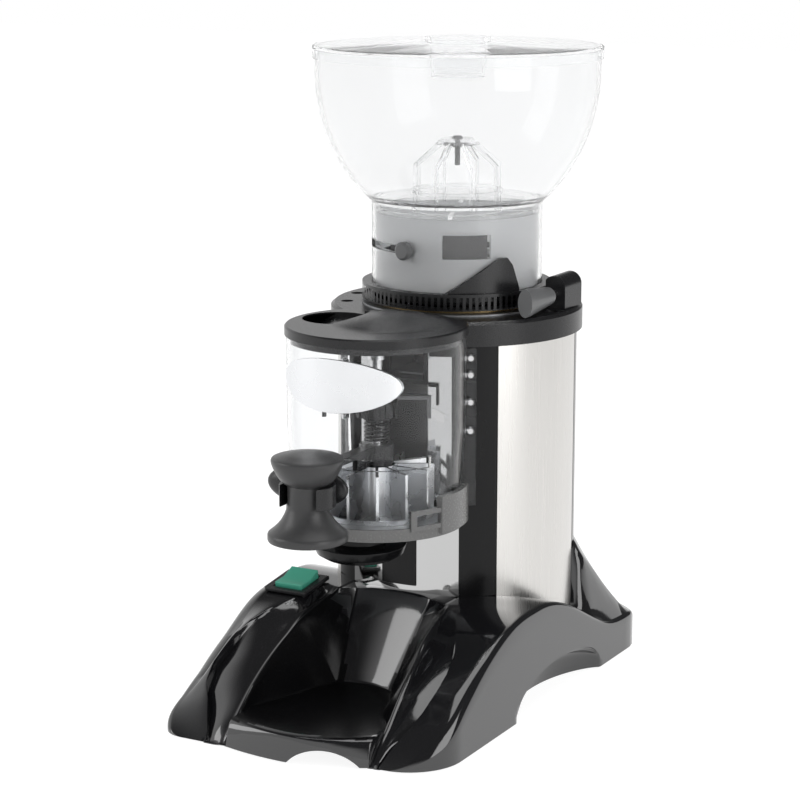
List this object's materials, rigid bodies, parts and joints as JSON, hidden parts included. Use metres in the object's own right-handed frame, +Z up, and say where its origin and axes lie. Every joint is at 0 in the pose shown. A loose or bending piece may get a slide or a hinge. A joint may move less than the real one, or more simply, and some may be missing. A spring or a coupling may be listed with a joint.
{
  "type": "burr coffee grinder",
  "caption": "Upright burr coffee grinder with a clear bean hopper, a clear dosing chamber with a lever, and a clipped tamper over an open drip tray.",
  "frame": {"origin": "middle of the bounding box, on the surface that the feet stand on", "axes": "+Z up; the front, with the dosing chamber and the tray, faces -Y; +X is the right side seen from the rear of the frame looking along +Y"},
  "size_m": [0.194, 0.336, 0.4308],
  "materials": {
    "black_gloss": "glossy black moulding",
    "black_matt": "fine matt black",
    "rubber": "matt",
    "green": "translucent glossy green",
    "steel_panel": "brushed upright, satin",
    "mirror_steel": "polished",
    "steel": "turned, bright",
    "plate": "zinc plated",
    "cast": "as cast",
    "lamination": "varnished steel laminations",
    "burr_steel": "hardened and ground",
    "brass": "turned",
    "grey_plastic": "satin mid grey",
    "dark_grey": "satin dark grey",
    "clear": "clear, glossy",
    "silver": "silver white, satin",
    "capacitor": "drawn can"
  },
  "bodies": {
    "machine": {"base_shell": "black_gloss", "base_plate": "plate", "feet": "rubber", "base_screws": "steel", "cable_gland": "black_matt", "switch_frame": "black_matt", "body_casting": "cast", "column_front": "black_gloss", "front_panel": "mirror_steel", "centre_trim": "black_gloss", "left_steel_panel": "steel_panel", "right_steel_panel": "steel_panel", "column_rear": "black_gloss", "top_cover": "black_gloss", "cover_screws": "steel", "stator": "lamination", "shaft_bearings": "steel", "end_shield": "cast", "motor_flange": "cast", "motor_bolts": "steel", "capacitor": "capacitor", "grinding_chamber": "cast", "outlet_chute": "black_matt", "worm_bracket": "black_matt", "doser_bracket": "black_matt", "doser_floor": "cast", "doser_body": "clear", "doser_band": "dark_grey", "doser_screws": "steel", "badge": "silver", "outlet_dish": "black_gloss"},
    "switch": {"switch_rocker": "green"},
    "spindle": {"motor_shaft": "steel", "rotor": "lamination", "cooling_fan": "black_matt", "lower_carrier": "cast", "lower_burr": "burr_steel", "lower_burr_screws": "steel"},
    "adjuster": {"adjusting_ring": "black_matt", "upper_carrier": "brass", "upper_burr": "burr_steel", "upper_burr_screws": "steel"},
    "worm": {"worm_shaft": "steel", "worm_knob": "dark_grey"},
    "hopper": {"hopper_bowl": "clear", "hopper_liner": "grey_plastic", "bean_guard": "clear", "guard_post": "dark_grey"},
    "shutter": {"hopper_shutter": "dark_grey", "shutter_knob": "dark_grey"},
    "lid": {"hopper_lid": "clear"},
    "chamber_lid": {"doser_lid": "black_gloss"},
    "lever": {"doser_lever": "black_matt", "return_spring": "steel"},
    "star": {"star_wheel": "silver", "star_shaft": "steel", "sweeper": "dark_grey"},
    "portion": {"portion_nut": "steel"},
    "tamper": {"tamper": "dark_grey"}
  },
  "joints": [
    {"name": "power_switch", "type": "hinge", "parent": "machine", "child": "switch", "pos_m": [-0.069, -0.03413, 0.06988], "axis": [1, 0, 0], "range_deg": [-10, 0]},
    {"name": "burr_spin", "type": "hinge", "parent": "machine", "child": "spindle", "pos_m": [0, 0.063, 0.2], "axis": [0, 0, 1], "continuous": true},
    {"name": "grind_adjust", "type": "hinge", "parent": "machine", "child": "adjuster", "pos_m": [0, 0.063, 0.26], "axis": [0, 0, 1], "range_deg": [-30, 30]},
    {"name": "worm_turn", "type": "hinge", "parent": "machine", "child": "worm", "pos_m": [0.0716, 0.063, 0.264], "axis": [0, 1, 0], "range_deg": [-2880, 2880]},
    {"name": "hopper_lift", "type": "slide", "parent": "adjuster", "child": "hopper", "axis": [0, 0, 1], "range_m": [0, 0.06]},
    {"name": "shutter_turn", "type": "hinge", "parent": "hopper", "child": "shutter", "pos_m": [0, 0.063, 0.295], "axis": [0, 0, 1], "range_deg": [-45, 0]},
    {"name": "lid_lift", "type": "slide", "parent": "hopper", "child": "lid", "axis": [0, 0, 1], "range_m": [0, 0.04]},
    {"name": "doser_lid_lift", "type": "slide", "parent": "machine", "child": "chamber_lid", "axis": [0, 0, 1], "range_m": [0, 0.03]},
    {"name": "lever_pull", "type": "hinge", "parent": "machine", "child": "lever", "pos_m": [0, -0.0476, 0.176], "axis": [0, 0, 1], "range_deg": [0, 60], "stiffness_Nm_per_rad": 0.3, "springref_deg": -20.05},
    {"name": "star_turn", "type": "hinge", "parent": "machine", "child": "star", "pos_m": [0, -0.0476, 0.15], "axis": [0, 0, 1], "range_deg": [0, 60]},
    {"name": "portion_set", "type": "hinge", "parent": "star", "child": "portion", "pos_m": [0, -0.0476, 0.2], "axis": [0, 0, 1], "range_deg": [-180, 180]},
    {"name": "tamper_draw", "type": "slide", "parent": "lever", "child": "tamper", "axis": [0, -1, 0], "range_m": [0, 0.05]}
  ],
  "couplings": [
    {"joint": "worm_turn", "follows": "grind_adjust", "ratio": 96},
    {"joint": "star_turn", "follows": "lever_pull", "ratio": 1}
  ]
}
